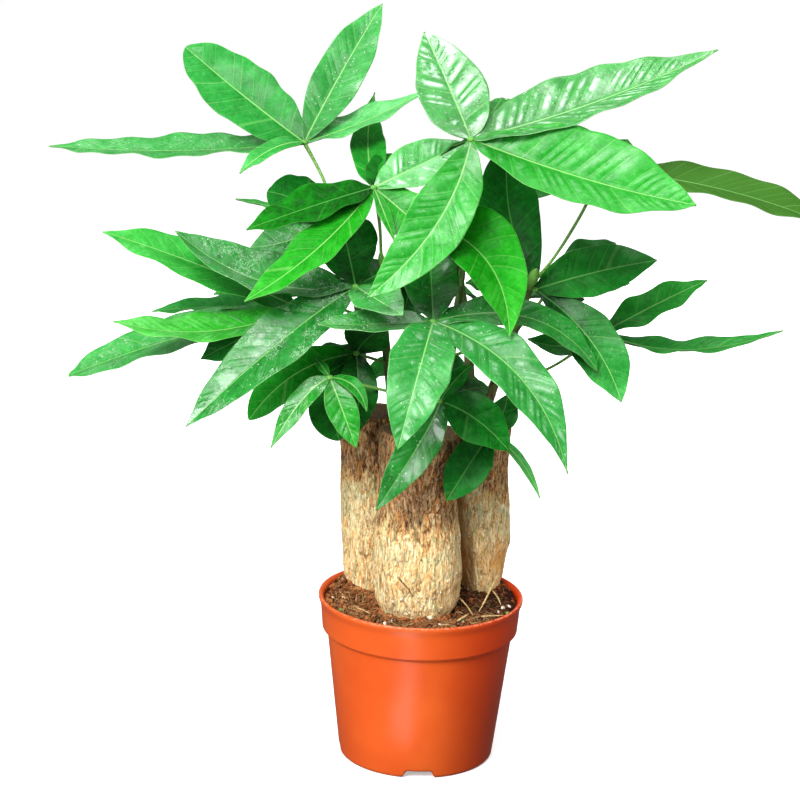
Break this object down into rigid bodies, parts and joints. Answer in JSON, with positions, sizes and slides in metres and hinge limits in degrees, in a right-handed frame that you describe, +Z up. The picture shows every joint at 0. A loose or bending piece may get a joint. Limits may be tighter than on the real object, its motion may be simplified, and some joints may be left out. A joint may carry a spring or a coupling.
{
  "type": "potted money tree plant",
  "caption": "Potted tree with thick cut trunks rising from a filled nursery pot, topped by green shoots and long-stalked palmate leaves",
  "frame": {"origin": "centre of the pot's underside, under the middle of the whole plant", "axes": "+Z up, +X to the right of the picture's front view, -Y towards the viewer"},
  "size_m": [0.5002, 0.2352, 0.4684],
  "materials": {
    "pot": "satin moulded plastic, terracotta orange",
    "soil": "loose brown fibrous peat, matte",
    "bark": "dry fissured bark, matte",
    "shoot": "young green stem, matte",
    "leaf": "smooth green leaf, satin and wet in spots"
  },
  "bodies": {
    "root": {"pot": "pot", "soil": "soil", "trunk_front": "bark", "trunk_left": "bark", "trunk_right": "bark", "shoot_left": "shoot", "shoot_centre": "shoot", "shoot_front": "shoot", "shoot_middle": "shoot", "shoot_right": "shoot", "shoot_back": "shoot", "leaf_upper_left": "leaf", "leaf_top_right": "leaf", "leaf_centre_top": "leaf", "leaf_centre_left": "leaf", "leaf_left": "leaf", "leaf_front": "leaf", "leaf_right": "leaf", "leaf_middle_right": "leaf", "leaf_far_right": "leaf", "leaf_far_right_top": "leaf", "leaf_young_left": "leaf", "leaf_lower_left": "leaf", "leaf_lower_front": "leaf", "leaf_lower_right": "leaf", "leaf_upper_left_back": "leaf", "leaf_inner": "leaf", "leaf_back_left": "leaf", "leaf_back_right": "leaf", "leaf_back_middle": "leaf", "leaf_back_top": "leaf", "leaf_back_low": "leaf"}
  },
  "joints": []
}
